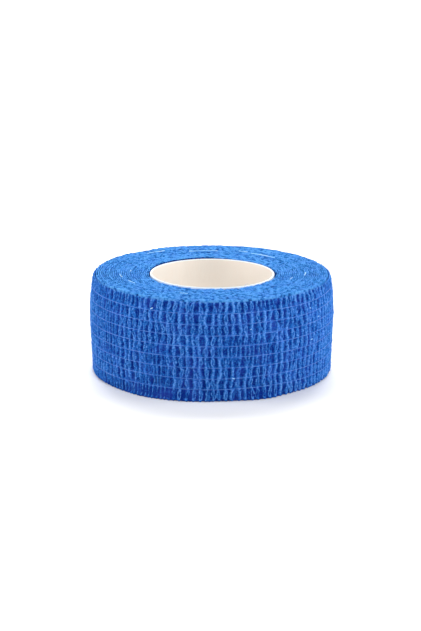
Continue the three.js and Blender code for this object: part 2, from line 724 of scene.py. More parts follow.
@dataclass(frozen=True)
class PaperFinish:
    """The core's pale uncoated paper, with its grain along the tube and paler cut rims."""

    name: str = "pale_core_paper"
    wall: Colour = linear(231, 225, 217)
    shade: Colour = linear(231, 223, 214)
    rim: Colour = linear(230, 239, 246)
    roughness: float = 0.6
    grain: float = 0.5 * MM
    relief: float = 0.02 * MM

    def material(self) -> bpy.types.Material:
        """Makes the finish.

        Returns:
            The material.
        """
        shader = Shader(self.name, Specular_IOR_Level=0.3)
        place = shader.own_place()
        pulp = shader.noise(place, self.grain, 3, (1, 1, 4))
        cloud = shader.noise(place, self.grain * 16, 1)
        wall = shader.mixed((pulp * 0.5 + cloud * 0.5).eased(0.35, 0.65), self.shade, self.wall)
        colour = shader.mixed(shader.attribute(CREST_AND_SHADE), wall, self.rim)
        return shader.finish(colour, self.roughness + pulp * 0.3, pulp, self.relief)


@dataclass(frozen=True)
class FloorFinish:
    """The plain white surface that the roll lies on."""

    name: str = "white_table"
    light: Colour = linear(251, 251, 251)
    dark: Colour = linear(248, 248, 249)
    cloud: float = 0.4
    roughness: float = 0.7
    relief: float = 0.01 * MM

    def material(self) -> bpy.types.Material:
        """Makes the finish.

        Returns:
            The material.
        """
        shader = Shader(self.name, Specular_IOR_Level=0.1)
        cloud = shader.noise(shader.own_place(), self.cloud, 1)
        colour = shader.mixed(cloud, self.light, self.dark)
        return shader.finish(colour, self.roughness + cloud * 0.1, cloud, self.relief)


# ---------------------------------------------------------------- the roll


@dataclass(frozen=True)
class RollForm:
    """The wound roll's own sizes: what every piece of it is placed by."""

    width: float  # the strip's cut width, and the roll's height
    core_radius: float  # the paper tube's outside radius
    turn: float = 0.49 * MM  # what one turn adds to the radius
    crown: float = 0.27 * MM  # how far the outer turns' upper edges stand above the cut width
    tilt: float = 0.26 * MM  # and how much more on the side that they lean to
    tilt_azimuth: float = math.radians(235)
    end_azimuth: float = math.radians(118)  # where the strip's cut end is
    core_shift: float = 0.25 * MM  # how far off the roll's own axis the core stands, along X
    ridges: int = 119
    threads: int = 8
    first_thread: float = 3.25 * MM  # across the cloth from its lower edge
    thread_pitch: float = 2.76 * MM
    side: tuple[Span, ...] = (
        (30.3 * MM, 0.0),
        (30.55 * MM, 0.5 * MM),
        (30.66 * MM, 1.6 * MM),
        (30.78 * MM, 6.0 * MM),
        (31.14 * MM, 14.0 * MM),
        (30.99 * MM, 20.0 * MM),
        (30.6 * MM, 23.5 * MM),
        (30.3 * MM, 24.3 * MM),
        (30.1 * MM, 24.75 * MM),
    )

    @property
    def cloth_length(self) -> float:
        """One outer turn's length."""
        return math.tau * max(radius for radius, _ in self.side)

    def grown(self, turned: np.ndarray) -> np.ndarray:
        """Says how much the outer turn's radius differs from its mean, part of a turn along."""
        return self.turn * (turned - 0.5)

    def crowned(self, azimuth: np.ndarray) -> np.ndarray:
        """Says how far the upper edges stand above the cut width."""
        return self.crown + self.tilt * np.cos(azimuth - self.tilt_azimuth)

    def thread_places(self) -> np.ndarray:
        """Gives each thread's distance across the cloth from its lower edge."""
        return self.first_thread + self.thread_pitch * np.arange(self.threads)


class Crepe:
    """The ridges and pockets that the threads gather the cloth into, along one outer turn."""

    SEED = 5
    DEPTH = 0.66 * MM
    THREAD_SHARE = 0.42  # how deep the pockets are along a thread
    THREAD_REACH = 0.38 * MM
    EDGE_SHARE = 0.40  # how deep they are at the cut edges
    EDGE_REACH = 0.8 * MM
    PAINTED_DEPTH_SHARE = 0.95  # how deep their painted shade makes them look there
    PINCH = 0.10 * MM  # how far a thread draws the cloth in
    WANDER = 0.13 * MM  # how far a thread strays up and down
    LUMPS = 0.04 * MM
    FOLDS = 0.18 * MM  # the small wrinkles in the web
    FOLD_WIDTH = 0.5
    FOLD_SHARPNESS = 4

    RIDGE_WIDTH = 0.44 * MM
    SPLIT_WIDTH = 0.225 * MM  # the breadth of each line where a ridge splits in two
    ROUNDNESS = 2.4  # how full a ridge's section is
    SHARPNESS = 5  # how plainly each of two ridges shows where they meet
    FINE_ROWS = 4  # how many lines are worked out to each row of points
    HIGHEST = 1.1  # where two ridges meet
    HEIGHTS = (0.85, 1.0)
    BREADTHS = (0.85, 1.15)
    WEAK_SHARE = 0.02
    WEAK_HEIGHT = 0.6
    FORK_SHARE = 0.12  # how many ridges fork between two threads
    FORK_REACH = 1.2
    FORK_GAP = 0.5  # in ridge pitches, as are the other gaps
    FORK_HEIGHT = 0.9
    LOOP_SHARE = 0.55  # and how many part and meet again
    LOOP_GAP = 0.44
    LOOP_HEIGHT = 0.95
    FILL = 0.52  # how high the cloth stands inside a loop or a fork
    FILL_GAP = 0.25  # and how far apart its two sides are where it does
    CREASE_WIDTH = 0.22 * MM  # of the small creases in the pockets
    CREASE_HEIGHT = 0.7
    CREASE_POWER = 1.5  # how few of them are high
    CREASE_PLACES = (0.35, 0.65)
    CREASE_FADE = 0.4  # how much of that is left at a thread
    DENSE_RIDGES = 1.45  # where the cloth is gathered finer, to each ordinary ridge
    DENSE_HEIGHT = 0.85
    DENSE_FROM = 0.22
    DENSE_BLEND = 0.4
    DENSE_COVER = 0.7  # how much of the ordinary ridges is lost there

    THREAD_STRAY = 0.065  # how far ridges stray, in ridge pitches, as are the next six
    BOW = 0.12
    SWAY = 0.05
    WRIGGLE = 0.03
    DENSE_BOW = 0.1
    DRIFT = 0.10
    GATHER = 0.36  # where the strip was wound tighter or looser

    DENSE_CELLS = (22, 4)  # along and across, as are the next ones
    DRIFT_CELLS = (29, 9)
    GATHER_CELLS = (7, 1)
    WANDER_CELLS = (14, 5)
    LUMP_CELLS = ((330, 40), (620, 84))
    FOLD_CELLS = ((250, 26), (430, 50))

    def __init__(self, form: RollForm, length: float, across: float) -> None:
        """Draws the random numbers that the relief is worked out from.

        Args:
            form: The roll's sizes.
            length: How long this piece of the strip is, in outer turns.
            across: The cloth's breadth along its own surface.
        """
        rng = np.random.default_rng(self.SEED)
        self.form = form
        self.across = across
        self.count = round(form.ridges * length)
        self.dense_count = round(self.count * self.DENSE_RIDGES)
        self.pitch = form.cloth_length / form.ridges
        self.bounds = np.concatenate([[0], form.thread_places(), [across]])
        bands = form.threads + 1
        shape = (bands, self.count)
        self.at_thread = rng.normal(0, self.THREAD_STRAY, (bands + 1, self.count))
        self.bow = rng.normal(0, self.BOW, shape)
        self.sway = rng.normal(0, self.SWAY, shape)
        self.height = rng.uniform(*self.HEIGHTS, shape)
        self.height[rng.random(shape) < self.WEAK_SHARE] *= self.WEAK_HEIGHT
        self.breadth = rng.uniform(*self.BREADTHS, shape)
        self.creased = rng.uniform(0, 1, shape) ** self.CREASE_POWER * self.CREASE_HEIGHT
        self.crease_place = rng.uniform(*self.CREASE_PLACES, shape)
        kind = rng.random(shape)
        self.forked = kind < self.FORK_SHARE
        self.looped = kind > 1 - self.LOOP_SHARE
        self.fork_up = rng.random(shape) < 0.5
        self.dense = Lattice(rng, *self.DENSE_CELLS)
        self.dense_stray = rng.normal(0, self.THREAD_STRAY, (bands + 1, self.dense_count))
        self.drift = Lattice(rng, *self.DRIFT_CELLS)
        self.gather = Lattice(rng, *self.GATHER_CELLS)
        self.wander = Lattice(rng, *self.WANDER_CELLS)
        self.lumps = [Lattice(rng, *cells) for cells in self.LUMP_CELLS]
        self.folds = [Lattice(rng, *cells) for cells in self.FOLD_CELLS]
        self.wriggle = rng.normal(0, self.WRIGGLE, shape)
        self.dense_bow = rng.normal(0, self.DENSE_BOW, (bands, self.dense_count))

    def strayed(self, along: np.ndarray, across: "np.ndarray | float") -> np.ndarray:
        """Says how far the pattern has strayed up the cloth at each place."""
        return self.WANDER * self.wander.at(along, across / self.across)

    def denseness(self, share: np.ndarray, across: float) -> np.ndarray:
        """Says where the cloth is gathered finer: 0 to 1, at shares of the way along one line."""
        mask = self.dense.at(share, across / self.across)
        return eased((mask - self.DENSE_FROM) / self.DENSE_BLEND)

    def ridge_lines(self, across: float) -> tuple[np.ndarray, np.ndarray, np.ndarray]:
        """Finds the ridges on one line along the cloth.

        Args:
            across: The line's distance from the cloth's lower edge.

        Returns:
            Each ridge's place along the line in pitches, its height and its half breadth.
        """
        band = int(np.clip(np.searchsorted(self.bounds, across, "right") - 1, 0, len(self.bow) - 1))
        t = (across - self.bounds[band]) / (self.bounds[band + 1] - self.bounds[band])
        arch = math.sin(math.pi * t)
        number = np.arange(self.count) + 0.5
        share = number / self.count
        held = self.at_thread[band] * (1 - t) + self.at_thread[band + 1] * t
        swung = self.bow[band] * arch + self.sway[band] * math.sin(2 * math.pi * t)
        swung = swung + self.wriggle[band] * math.sin(4 * math.pi * t)
        drift = self.DRIFT * self.drift.at(share, across / self.across)
        place = number + held + swung + drift + self.GATHER * self.gather.at(share, 0.5)

        forked, looped = self.forked[band], self.looped[band]
        split = forked | looped
        climbed = np.where(self.fork_up[band], t, 1 - t)
        opened = self.LOOP_GAP * arch
        closing = np.cos(np.minimum(climbed * self.FORK_REACH, 1) * math.pi / 2)
        gap = np.where(looped, opened, self.FORK_GAP * closing)
        place = place - np.where(looped, opened / 2, 0)
        fork_height = np.sqrt(np.cos(climbed * math.pi / 2).clip(0)) * self.FORK_HEIGHT
        second = np.where(looped, self.LOOP_HEIGHT, fork_height) * split
        filled = self.FILL * split * np.minimum(gap / self.FILL_GAP, 1)
        swell = self.CREASE_FADE + (1 - self.CREASE_FADE) * arch
        creased = np.where(split, 0, self.creased[band] * swell)
        open_share = 1 - self.DENSE_COVER * self.denseness(share, across)

        fine = (np.arange(self.dense_count) + 0.5) / self.DENSE_RIDGES
        strayed = self.dense_stray[band] * (1 - t) + self.dense_stray[band + 1] * t
        strayed = strayed + self.dense_bow[band] * arch
        dense = self.denseness(fine / self.count, across) * self.DENSE_HEIGHT

        places = [place, place + gap, place + gap / 2, place + self.crease_place[band]]
        heights = [self.height[band], self.height[band] * second, filled, creased]
        widths = np.where(split, self.SPLIT_WIDTH, self.RIDGE_WIDTH) * self.breadth[band]
        others = (self.SPLIT_WIDTH, self.SPLIT_WIDTH, self.CREASE_WIDTH)
        widths = [widths, np.repeat(others, self.count), [self.SPLIT_WIDTH] * self.dense_count]
        places = np.concatenate([*places, fine + strayed])
        heights = np.concatenate([*(each * open_share for each in heights), dense])
        return places, heights, np.concatenate(widths)

    def crests(self, along: np.ndarray, across: np.ndarray) -> np.ndarray:
        """Works out how high the cloth stands.

        Args:
            along: Shares of the way along this piece of the strip, one for each column.
            across: Distances across the cloth, one for each row.

        Returns:
            Heights from 0 in a pocket to 1 on a ridge, shaped (columns, rows).
        """
        place = along[:, None] * self.count
        made = np.empty((len(along), len(across)))
        for row, distance in enumerate(across):
            places, heights, widths = self.ridge_lines(float(distance))
            away = np.abs(place - places[None, :]) * self.pitch
            bumps = heights * np.exp(-((away / widths) ** self.ROUNDNESS))
            made[:, row] = np.power(np.power(bumps, self.SHARPNESS).sum(axis=1), 1 / self.SHARPNESS)
        return np.clip(made, 0, self.HIGHEST)

    def relief(self, along: np.ndarray, across: np.ndarray) -> tuple[np.ndarray, np.ndarray]:
        """Works out the cloth's relief.

        Args:
            along: Shares of the way along, one for each column.
            across: Distances across the cloth, one for each row.

        Returns:
            How far each point lies under the crest line, and its crest share, which the finish
            paints as shade in the pockets, as (columns, rows).
        """
        fine = np.linspace(0, self.across, self.FINE_ROWS * len(across))
        heights = self.crests(along, fine)
        u, v = np.meshgrid(along, across, indexing="ij")
        strayed = np.clip(v - self.strayed(u, v), 0, self.across)
        place = strayed / self.across * (len(fine) - 1)
        low = np.minimum(place.astype(int), len(fine) - 2)
        part = place - low
        column = np.arange(len(along))[:, None]
        crest = heights[column, low] * (1 - part) + heights[column, low + 1] * part

        away = np.abs(strayed[..., None] - self.form.thread_places()).min(axis=-1)
        near = np.exp(-((away / self.THREAD_REACH) ** 2))
        edge = 1 - eased(np.minimum(v, self.across - v) / self.EDGE_REACH)
        depth = self.DEPTH * (1 - (1 - self.THREAD_SHARE) * near) * (1 - crest)
        w = v / self.across
        lumps = sum(self.LUMPS / (1 + k) * each.at(u, w) for k, each in enumerate(self.lumps))
        folded = [(each.at(u, w) / self.FOLD_WIDTH) ** 2 for each in self.folds]
        folds = sum(np.exp(-away * self.FOLD_SHARPNESS) for away in folded)
        common = self.PINCH * near + lumps + self.FOLDS * (0.5 - folds / 2)
        # The crest share is painted shade: the pockets look deeper than their shape, most of all at
        # the cut edges.
        under, looks = (
            depth * (1 - (1 - share) * edge) + common
            for share in (self.EDGE_SHARE, self.PAINTED_DEPTH_SHARE)
        )
        return under, np.clip(1 - looks / self.DEPTH, 0, 1)


class OuterTurn:
    """The strip's last turn, whose creped face shows, with its cut end at the back."""

    NAME = "bandage_outer_turn"
    LAP = math.radians(7)  # how far its beginning reaches in under the cut end
    COLUMNS = 970
    FACE_ROWS = 86
    BACK_ROWS = 7
    ROUNDED = (0.35, 0.75)  # how far through to the back the rows of a cut edge are
    THICK = 0.30 * MM
    TUCK = 1.2  # in thicknesses: how far the beginning is tucked in
    BEHIND = 1.3  # and how far the back lies behind the face
    FOLLOW = 0.45  # how much of the relief shows on the hidden side
    EDGE_RAGGED = 0.07 * MM
    EDGE_SEED = 21
    EDGE_CELLS = 260
    FLARE = 0.8 * MM  # how far the lower edge is splayed out, where it is
    FLARE_REACH = 1.3 * MM
    FLARES = ((math.radians(247), math.radians(21)), (math.radians(295), math.radians(9.5)))

    TOP = (0.94, 0.06)  # where the upper edge begins and what it takes, as shares of the section
    CROWNED = (0.86, 0.14)  # and the same of what stands above the cut width
    LIP = (0.35 * MM, 0.2 * MM)  # how far down the paler lip begins, and how soon it is whole
    LIP_TONE = 0.3
    FOOT_REACH = 0.7 * MM
    FOOT_AND_BACK_SHADE = 0.5  # painted shade: how much darker the foot is, by the floor, and the hidden back
    LEAST_FUZZ = 0.25

    def __init__(self, form: RollForm) -> None:
        """Sets the turn out.

        Args:
            form: The roll's sizes.
        """
        self.form = form
        self.outline = Outline(form.side)
        self.turns = 1 + self.LAP / math.tau
        self.crepe = Crepe(form, self.turns, self.outline.length)

    def azimuths(self, along: np.ndarray) -> np.ndarray:
        """Says how far round from the cut end each share of the way along is."""
        return along * self.turns * math.tau - self.LAP

    def _section(self) -> tuple[np.ndarray, np.ndarray]:
        """Lays out the section's rows.

        Returns:
            Each row's distance across the cloth, and its share of the way through to the back.
        """
        length, rounded = self.outline.length, self.ROUNDED
        face, back = np.linspace(0, length, self.FACE_ROWS), np.linspace(length, 0, self.BACK_ROWS)
        across = [face, np.full(len(rounded), length), back, np.zeros(len(rounded))]
        through = [np.zeros(self.FACE_ROWS), rounded, np.ones(self.BACK_ROWS), rounded[::-1]]
        return np.concatenate(across), np.concatenate(through)

    def _upper(self, across: np.ndarray, start: float, span: float) -> np.ndarray:
        """Rises from 0 to 1 towards the upper edge, over a span that starts part of the way up."""
        return eased((across / self.outline.length - start) / span)

    def _lift(
        self, along: np.ndarray, angle: np.ndarray, across: np.ndarray, through: np.ndarray
    ) -> np.ndarray:
        """Works out how far the ragged, rounded cut edges stand above their places.

        Args:
            along: Shares of the way along the strip, one for each column.
            angle: Each column's azimuth, as a column of its own.
            across: Each row's distance across the cloth.
            through: Each row's share of the way through to the back.

        Returns:
            How far each point is lifted, as (columns, rows).
        """
        rng = np.random.default_rng(self.EDGE_SEED)
        ragged = Lattice(rng, self.EDGE_CELLS, 1).at(along, 1.0)[:, None]
        top = self._upper(across, *self.TOP)
        rounded = 4 * through * (1 - through) * np.sign(top - 0.5)
        crowned = self.form.crowned(angle) * self._upper(across, *self.CROWNED)
        return self.EDGE_RAGGED * (ragged * top + rounded) + crowned

    def _splayed(self, angle: np.ndarray, across: np.ndarray) -> np.ndarray:
        """Says how far the lower edge is splayed out.

        Args:
            angle: Each column's azimuth, as a column of its own.
            across: Each row's distance across the cloth.

        Returns:
            How far each point stands out, as (columns, rows).
        """
        away = [(np.arccos(np.cos(angle - middle)), reach) for middle, reach in self.FLARES]
        flared = sum(np.exp(-((distance / reach) ** 4)) for distance, reach in away)
        return flared * self.FLARE * eased(1 - across / self.FLARE_REACH)

    def mesh(self) -> bpy.types.Mesh:
        """Builds the turn as a thin closed shell.

        Returns:
            The mesh, which carries its crest share, with painted shade at the foot and on the
            hidden back, and its fuzz.
        """
        form, outline = self.form, self.outline
        across, through = self._section()
        along = np.linspace(0, 1, self.COLUMNS)
        azimuth = self.azimuths(along)
        turned = azimuth / math.tau
        angle = azimuth[:, None] + form.end_azimuth
        last = self.FACE_ROWS - 1
        nearest = np.rint(np.clip(across / outline.length * last, 0, last)).astype(int)
        under, crest = self.crepe.relief(along, across[: self.FACE_ROWS])
        under, crest = under[:, nearest], crest[:, nearest]

        tucked = eased(1 - turned * math.tau / self.LAP)[:, None]
        under = under + tucked * self.THICK * self.TUCK
        depth = under * (1 - through * (1 - self.FOLLOW)) + through * self.THICK * self.BEHIND
        point, normal = outline.at(across)
        radius = point[:, 0] + form.grown(turned)[:, None] - depth * normal[:, 0]
        radius = radius + self._splayed(angle, across)
        rise = point[:, 1] - depth * normal[:, 1] + self._lift(along, angle, across, through)
        points = polar(radius, angle, np.maximum(rise, 0))

        step = self.turns * form.cloth_length / (self.COLUMNS - 1)
        rim = np.concatenate([across, across[:1]])
        mesh = grid_mesh(self.NAME, points, np.arange(self.COLUMNS + 1) * step, rim, False)
        down, blend = self.LIP
        lip = eased((across - outline.length + down) / blend) * (1 - through)
        foot = 1 - eased(across / self.FOOT_REACH)
        # painted shade at the foot and on the hidden back
        painted_shade = (1 - self.FOOT_AND_BACK_SHADE * through) * (1 - self.FOOT_AND_BACK_SHADE * foot)
        carry(mesh, CREST_AND_SHADE, crest * painted_shade + self.LIP_TONE * lip)
        least = self.LEAST_FUZZ
        carry(mesh, FUZZ, np.where(through > 0.5, 0, least + (1 - least) * crest))
        return mesh

    def build(self, material: bpy.types.Material) -> bpy.types.Object:
        """Args:
            material: Its finish.

        Returns:
            The piece.
        """
        made = shown(self.mesh(), material)
        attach(made, "root")
        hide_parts("bandage_roll")
        return made


@dataclass(frozen=True)
class EdgeTone:
    """How light the inner turns' cut edges and walls are painted, from 0 to 1, with painted light
    and shade in it.
    """

    plain: float = 0.77
    crinkled: float = 0.9  # painted light and shade: how much the crinkles change it, lighter where they stand high
    puckered: float = 0.6  # the puckers' part in that
    near_crinkled: float = 1.6  # how much more the crinkles do on the near side
    last_crinkled: float = 0.5  # and on the last turn
    ringed: float = 0.5  # how much the turns differ from each other
    near: float = 0.04  # how much darker the near side is
    core_shade: float = 0.62  # painted shade: the part of it that is left beside the core
    slack: float = 0.3  # how much lighter the slack turns are
    wall: float = 0.5  # how light the walls are painted, down between two turns, in painted shade
    ending: float = 0.3  # how much darker the last of them is, in painted shade


@dataclass(frozen=True)
class InnerTurns:
    """The turns between the core and the outer one, whose crinkled cut edges make the two faces."""

    form: RollForm
    tone: EdgeTone = EdgeTone()
    name: str = "bandage_inner_turns"
    whole_turns: int = 26
    seat: float = 0.02 * MM  # from the core to the middle of the first turn
    last_radius: float = 29.52 * MM
    fineness: int = 256  # how many points the spiral has to a turn
    step: float = 0.42 * MM  # between points along the strip
    section: int = 8
    thick: float = 0.36 * MM
    rim: float = 0.28 * MM  # how much of the height the rounded edge takes
    crinkle: float = 0.48 * MM
    crinkle_cell: float = 1.1 * MM
    ripple: float = 0.8 * MM
    ripple_cell: float = 0.85 * MM
    pucker: float = 0.8 * MM
    pucker_cell: float = 1.05 * MM
    bulge: float = 0.3  # how far a pucker pushes the wall out, in millimetres
    swell: float = 0.5 * MM
    swell_cell: float = 9.0 * MM
    ring_scale: float = 0.8  # how soon the height changes from one turn to the next
    near: Span = (-6 * MM, -22 * MM)  # where along Y the near side begins and is whole
    calm: float = 0.75  # how much of the crinkling there is away from it
    brim: float = 0.10 * MM  # how far the last turn's edge stands above the outer turn's
    brim_calm: float = 0.5  # how much less it is crinkled
    brim_bared: float = 2.5  # how much more of its wall looks like edge, in brims
    slack: float = 0.33 * MM  # how far the first turns stand off the core, where they are slack
    slack_lift: float = 0.35 * MM
    slack_azimuth: float = math.radians(125)
    slack_span: Span = (0.72, 0.98)  # from the cosine where the slack begins to where it is whole
    slack_reach: float = 3.5 * MM
    hub_share: float = 0.35  # how much of the crown there is at the core
    low: float = 0.03 * MM  # how far the edges stay under the crown
    top_from: float = 0.6  # the share of the width above which the crinkles lift the cloth
    foot_from: float = 0.4  # and below which they do so at the foot
    foot_ripple: float = 0.5
    edge_taken: Span = (0.6, 0.5)  # where the edge's tone begins, in rims from it, and its blend
    core_shade: Span = (-0.1 * MM, 0.4 * MM)  # how far from the first radius the core's painted shade reaches
    buried_from: float = 0.9  # the share of the first turn after which its wall is covered
    ending: Span = (math.tau, 6.0)  # where the last wall darkens, in radians before the end

    @property
    def first_radius(self) -> float:
        """The first turn's radius."""
        return self.form.core_radius + self.seat

    @property
    def turns(self) -> float:
        """How many turns it makes: it ends where the outer turn begins."""
        return self.whole_turns + self.form.end_azimuth / math.tau

    @property
    def length(self) -> float:
        """How long the strip is, along these turns."""
        return self.turns * math.pi * (self.first_radius + self.last_radius)

    def build(self, material: bpy.types.Material) -> bpy.types.Object:
        """Winds the strip with Geometry Nodes: its section swept along a spiral, then crinkled.

        Args:
            material: Its finish.

        Returns:
            The piece.
        """
        form = self.form
        maker = Maker(self.name)
        turns = maker.take("Turns", float(self.turns))
        first = maker.take("First radius", float(self.first_radius))
        last = maker.take("Last radius", float(self.last_radius))
        step = maker.take("Step", self.step)
        half = maker.take("Half width", form.width / 2)
        thick = maker.take("Thickness", self.thick)

        inputs = {"Resolution": self.fineness, "Rotations": turns, "Start Radius": first}
        inputs |= {"End Radius": last, "Height": 0.0, "Reverse": True}
        spiral = maker.node("GeometryNodeCurveSpiral", {}, inputs)
        inputs = {"Curve": spiral, "Length": step}
        path = maker.node("GeometryNodeResampleCurve", {"mode": "LENGTH"}, inputs)
        run = maker.node("GeometryNodeSplineParameter", {}, {}, "Length")
        path = maker.carrying(path, RUN, run)
        circle = maker.ring(self.section, 1.0)
        inputs = {"Vector": maker.place(), "Angle": math.pi / self.section}
        x, y, _ = maker.parts(maker.node("ShaderNodeVectorRotate", {}, inputs))
        rounded = y.sign() * (half - self.rim) + y * self.rim
        section = maker.moved(circle, Position=maker.vector(x * thick * 0.5, rounded, 0.0))
        strip = self._crinkled(maker, maker.swept(path, section))
        made = maker.piece(strip, material)
        finished(made.data)
        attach(made, "root")
        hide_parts("bandage_roll")
        return made

    def _crinkled(self, maker: Maker, strip: Value) -> Value:
        """Lifts the strip onto its lower edge, crinkles it and lets each turn stand as it will.

        Args:
            maker: The tree.
            strip: The plain strip, about the middle of its height.

        Returns:
            The crinkled strip, which carries how light each point is painted, 0 to 1, with painted
            light and shade, and how thick its fuzz is.
        """
        form, tone = self.form, self.tone
        start, end, width = self.first_radius, self.last_radius, form.width
        x, y, z = maker.parts(maker.place())
        radius = (x * x + y * y) ** 0.5
        up = z + width / 2
        wave = maker.noise(maker.place(), self.crinkle_cell, 1, (1, 1, 6)) - 0.5
        run = maker.carried(RUN)
        pucker = maker.noise(maker.vector(run, 0.0, z), self.pucker_cell, 1) - 0.5
        slow = maker.noise(maker.vector(x, y, 0.0), self.swell_cell, 0) - 0.5
        inputs = {"W": radius / form.turn, "Scale": self.ring_scale}
        ring = maker.node("ShaderNodeTexNoise", {"noise_dimensions": "1D"}, inputs)
        fine = maker.noise(maker.vector(x, y * 0.5, 0.0), self.ripple_cell, 1) - 0.5

        def facing(azimuth: float) -> Value:
            """Gives the cosine of the angle between each point's azimuth and another."""
            return (x * math.cos(azimuth) + y * math.sin(azimuth)) / radius

        slack = facing(self.slack_azimuth).eased(*self.slack_span)
        slack = slack * radius.eased(start + self.slack_reach, start)
        out = wave * self.crinkle + pucker * self.bulge * MM + slack * self.slack
        out = 1 + out / radius
        rising = radius.eased(start, end) * (1 - self.hub_share) + self.hub_share
        dish = (facing(form.tilt_azimuth) * form.tilt + form.crown) * rising

        last = radius.eased(end - form.turn, end - form.turn / 2)
        near = y.eased(*self.near)
        calm = self.calm + near * (1 - self.calm)
        lift = (fine * self.ripple + pucker * self.pucker) * calm + (slow + ring - 0.5) * self.swell
        lift = lift * (1 - last * self.brim_calm) + last * self.brim
        top = up.eased(width * self.top_from, width)
        height = up + top * (lift + dish + slack * self.slack_lift - self.low)
        foot = up.eased(width * self.foot_from, 0.0)
        footed = fine * self.ripple * self.foot_ripple + self.ripple * self.foot_ripple / 2
        height = height + foot * footed
        lean = radius.eased(end, start) * form.core_shift
        place = maker.vector(x * out + lean, y * out, height)

        below, blend = self.edge_taken
        bared = z.size() + last * self.brim * self.brim_bared
        edge = (bared - (width / 2 - self.rim * below)).eased(0.0, self.rim * blend)
        # painted shade beside the core
        seat = radius.eased(*(start + away for away in self.core_shade))
        shade = tone.core_shade + (1 - tone.core_shade) * seat + slack * tone.slack
        # The walls down between turns are painted shade, darkest on the first turn's wall and
        # darker at the last.
        first_turn = math.tau * start
        buried = run.eased(first_turn * self.buried_from, first_turn)
        ending = run.eased(*(self.length - before * end for before in self.ending))
        wall = tone.wall * buried * (1 - ending * tone.ending)
        # painted light and shade of the crinkles: lighter where they stand high
        grain = tone.crinkled + near * tone.near_crinkled + last * tone.last_crinkled
        grain = (fine + pucker * tone.puckered) * grain
        lit = shade * (tone.plain + grain + (ring - 0.5) * tone.ringed - near * tone.near)
        carried = {CREST_AND_SHADE: wall + edge * (lit - wall), FUZZ: edge * lit}
        for name, value in carried.items():  # stored before the points are moved
            strip = maker.carrying(strip, name, value.held())
        return maker.moved(strip, Position=place)


@dataclass(frozen=True)
class Strands:
    """Thin strands drawn along lines on the roll."""

    form: RollForm
    outer: OuterTurn

    NAME = "strands"
    RADIUS = 0.06 * MM
    SIDES = 5
    SHIVER = (0.0, 0.0, 0.0)
    SHIVER_CELL = 1.4 * MM

    def lines(self) -> list[np.ndarray]:
        """Gives each strand's middle line, as rows of points."""
        return []

    def build(self, material: bpy.types.Material) -> bpy.types.Object:
        """Draws a fine tube along each line with Geometry Nodes.

        Args:
            material: Its finish.

        Returns:
            The piece.
        """
        lines = self.lines()
        firsts = np.cumsum([0, *(len(line) for line in lines)])
        edges = [(k, k + 1) for a, b in zip(firsts, firsts[1:]) for k in range(int(a), int(b) - 1)]
        paths = bpy.data.meshes.new(self.NAME)
        paths.from_pydata(np.concatenate(lines).tolist(), edges, [])

        maker = Maker(self.NAME)
        radius = maker.take("Strand radius", self.RADIUS)
        parts = []
        for seat, reach in enumerate(self.SHIVER):
            inputs = {0: maker.place(), 1: (seat, 0, 0)}
            away = maker.node("ShaderNodeVectorMath", {"operation": "ADD"}, inputs)
            parts.append((maker.noise(away, self.SHIVER_CELL, 1) - 0.5) * reach)
        moved = maker.moved(maker.base(), Offset=maker.vector(*parts))
        curves = maker.node("GeometryNodeMeshToCurve", {}, {"Mesh": moved})
        tubes = maker.swept(curves, maker.ring(self.SIDES, radius))
        made = maker.piece(tubes, material, paths)
        made.data.shade_smooth()
        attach(made, "root")
        return made


@dataclass(frozen=True)
class ElasticThreads(Strands):
    """The elastic threads that lie along the outer turn, bridging its pockets."""

    points: int = 720
    sunk: float = 0.2 * MM  # below the crest line
    clear: float = 0.004  # of the cut end, as a share of the strip, where a thread begins
    stop: float = 0.999  # and where it stops

    NAME = "elastic_threads"
    RADIUS = 0.06 * MM
    SHIVER = (0.2 * MM, 0.2 * MM, 0.16 * MM)

    def lines(self) -> list[np.ndarray]:
        """Gives one line along each thread, from beside the cut end round to it.

        Returns:
            The lines, as rows of points.
        """
        form, outer = self.form, self.outer
        start = outer.LAP / (math.tau * outer.turns) + self.clear
        along = np.linspace(start, self.stop, self.points)
        azimuth = outer.azimuths(along)
        made = []
        for across in form.thread_places():
            spot, normal = outer.outline.at(across + outer.crepe.strayed(along, across))
            radius = spot[:, 0] + form.grown(azimuth / math.tau) - self.sunk * normal[:, 0]
            made.append(polar(radius, azimuth + form.end_azimuth, spot[:, 1]))
        return made


@dataclass(frozen=True)
class Streak:
    """A length of pale thread that shows among the turns' cut edges."""

    start: float  # azimuths, in degrees
    end: float
    radius: float
    proud: float = 0.32 * MM


